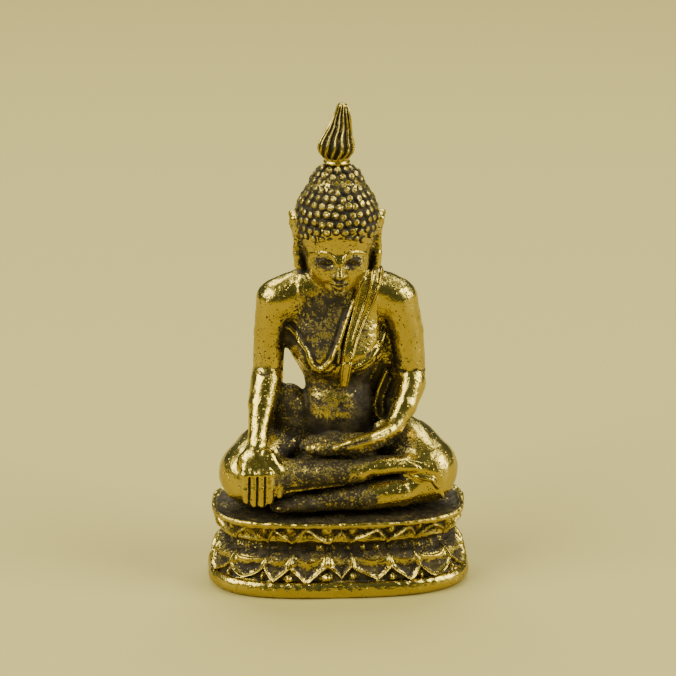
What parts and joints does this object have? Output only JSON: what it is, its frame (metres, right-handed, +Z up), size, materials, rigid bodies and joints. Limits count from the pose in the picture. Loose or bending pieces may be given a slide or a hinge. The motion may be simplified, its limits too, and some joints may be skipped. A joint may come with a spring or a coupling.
{
  "type": "seated buddha statuette",
  "caption": "Small cast brass seated Buddha in the earth-touching posture on a double-lotus pedestal, free-standing on a flat base.",
  "frame": {"origin": "centre of the pedestal's flat underside", "axes": "+Z up; the figure faces -Y; its right hand, the one over the knee, is on the -X side"},
  "size_m": [0.0168, 0.009, 0.031],
  "materials": {
    "polished_brass": "polished cast brass with fine pitting, dark brown patina left in the recesses",
    "aged_brass": "cast brass with heavier brown patina between worn bright high spots",
    "pin_brass": "plain drawn brass wire, hidden inside the figure"
  },
  "bodies": {
    "root": {"plinth": "polished_brass", "lower_lotus": "polished_brass", "right_leg": "polished_brass", "left_leg": "polished_brass", "right_foot": "polished_brass", "right_arm": "polished_brass", "right_hand": "polished_brass", "left_arm": "polished_brass", "left_hand": "polished_brass", "torso": "polished_brass", "shoulder_sash": "polished_brass", "head": "polished_brass", "right_ear": "polished_brass", "left_ear": "polished_brass", "flame_finial": "polished_brass", "upper_lotus": "aged_brass", "hips": "aged_brass", "left_foot": "aged_brass", "hair_cap": "aged_brass", "topknot": "aged_brass", "waist_pin": "pin_brass", "neck_pin": "pin_brass", "right_pedestal_pin": "pin_brass", "left_pedestal_pin": "pin_brass", "right_shoulder_pin": "pin_brass", "left_shoulder_pin": "pin_brass"}
  },
  "joints": []
}
